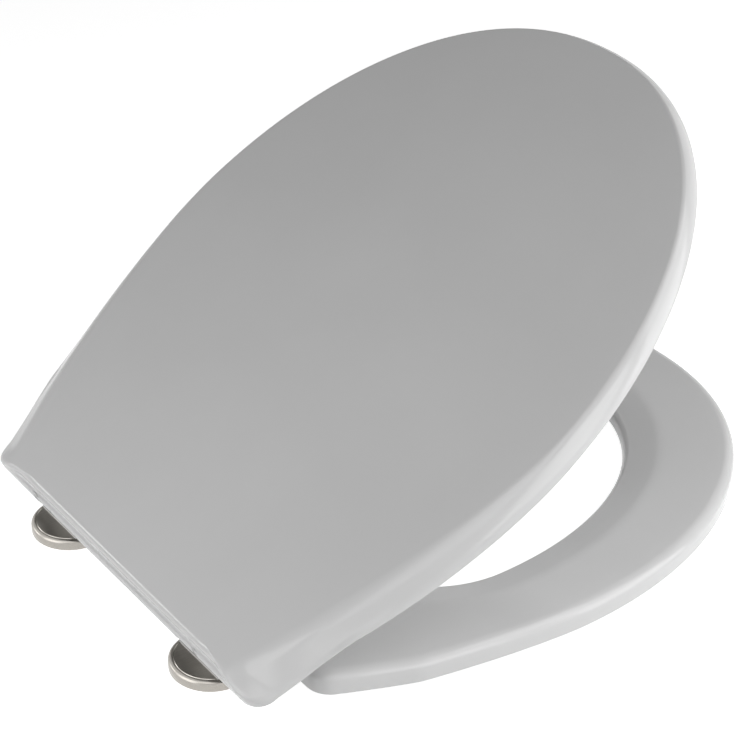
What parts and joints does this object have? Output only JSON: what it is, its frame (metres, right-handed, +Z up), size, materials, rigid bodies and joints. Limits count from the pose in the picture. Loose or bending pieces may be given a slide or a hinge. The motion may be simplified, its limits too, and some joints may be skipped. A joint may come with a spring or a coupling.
{
  "type": "toilet seat",
  "caption": "Wrap-over toilet lid and open-bottomed ring that both swing on a pin in two round stainless-covered hinge bases.",
  "frame": {"origin": "on the ceramic, midway between the two fixing holes", "axes": "+X along the hinge axis, +Y to the front edge, +Z up from the ceramic"},
  "size_m": [0.376, 0.4356, 0.2661],
  "materials": {
    "white_shell": "gloss moulded thermoset",
    "hinge_plastic": "satin moulded",
    "soft_rubber": "matt",
    "stainless": "fine brushed top, polished edge",
    "pin_steel": "ground"
  },
  "bodies": {
    "fixings": {"gasket_left": "soft_rubber", "gasket_right": "soft_rubber", "hinge_base_left": "hinge_plastic", "hinge_base_right": "hinge_plastic", "cover_disc_left": "stainless", "cover_disc_right": "stainless", "pillar_left": "hinge_plastic", "pillar_right": "hinge_plastic", "pin_left": "pin_steel", "pin_right": "pin_steel", "inner_sleeve_left": "hinge_plastic", "inner_sleeve_right": "hinge_plastic", "outer_sleeve_left": "hinge_plastic", "outer_sleeve_right": "hinge_plastic", "grub_screw_left": "pin_steel", "grub_screw_right": "pin_steel"},
    "lid": {"lid": "white_shell", "lid_bush_left": "hinge_plastic", "lid_bush_right": "hinge_plastic", "lid_buffer_front_left": "soft_rubber", "lid_buffer_front_right": "soft_rubber", "lid_buffer_rear_left": "soft_rubber", "lid_buffer_rear_right": "soft_rubber"},
    "ring": {"ring": "white_shell", "ring_bush_left": "hinge_plastic", "ring_bush_right": "hinge_plastic", "ring_buffer_front_left": "soft_rubber", "ring_buffer_front_right": "soft_rubber", "ring_buffer_rear_left": "soft_rubber", "ring_buffer_rear_right": "soft_rubber"}
  },
  "joints": [
    {"name": "lid_hinge", "type": "hinge", "parent": "fixings", "child": "lid", "pos_m": [0, 0, 0.026], "axis": [1, 0, 0], "range_deg": [-35, 60]},
    {"name": "ring_hinge", "type": "hinge", "parent": "lid", "child": "ring", "pos_m": [0, 0, 0.026], "axis": [1, 0, 0], "range_deg": [-60, 35]}
  ]
}
